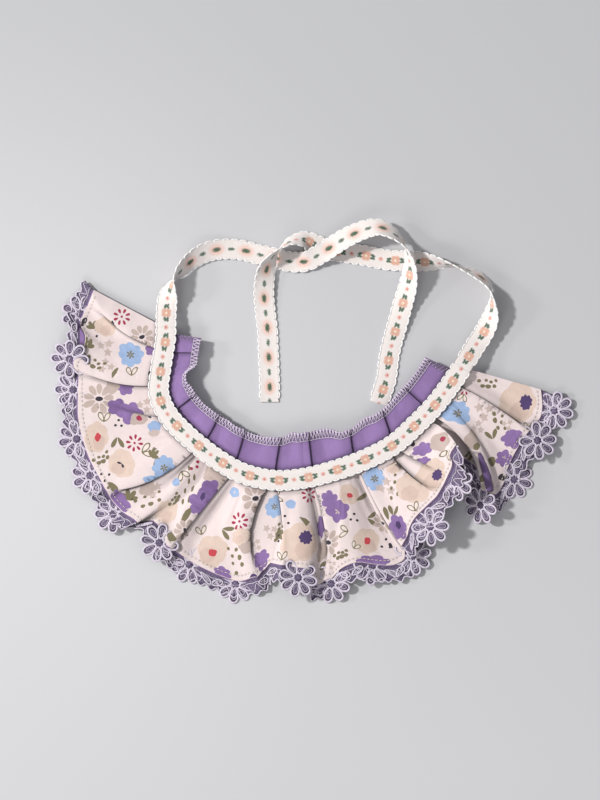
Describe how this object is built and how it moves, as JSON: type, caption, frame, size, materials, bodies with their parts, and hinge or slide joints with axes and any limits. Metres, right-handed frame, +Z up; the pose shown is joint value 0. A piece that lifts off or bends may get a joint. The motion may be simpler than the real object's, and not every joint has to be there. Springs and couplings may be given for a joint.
{
  "type": "lace bib collar",
  "caption": "Pleated floral bib collar, laid flat: purple lining and neck frill, daisy lace edge, and a rosebud ribbon over the neck seam that runs on as loose ties",
  "frame": {"origin": "the middle of the whole object's box, on the surface that the collar lies on", "axes": "+X runs to the right across the collar, its longest way; +Y runs from the ruffle's hem towards the ties; +Z is up from the surface"},
  "size_m": [0.3126, 0.2317, 0.0204],
  "materials": {
    "floral_cotton": "matt printed cotton",
    "purple_cotton": "matt plain cotton",
    "lilac_lace": "satin thread lace",
    "purple_frill_cotton": "matt plain cotton with an overlocked lilac edge",
    "rosebud_ribbon": "woven ribbon with a soft sheen"
  },
  "bodies": {
    "root": {"print_ruffle": "floral_cotton", "ruffle_lining": "purple_cotton", "lace_trim": "lilac_lace", "neck_frill": "purple_frill_cotton", "ribbon_band": "rosebud_ribbon", "tie_left": "rosebud_ribbon", "tie_right": "rosebud_ribbon"}
  },
  "joints": []
}
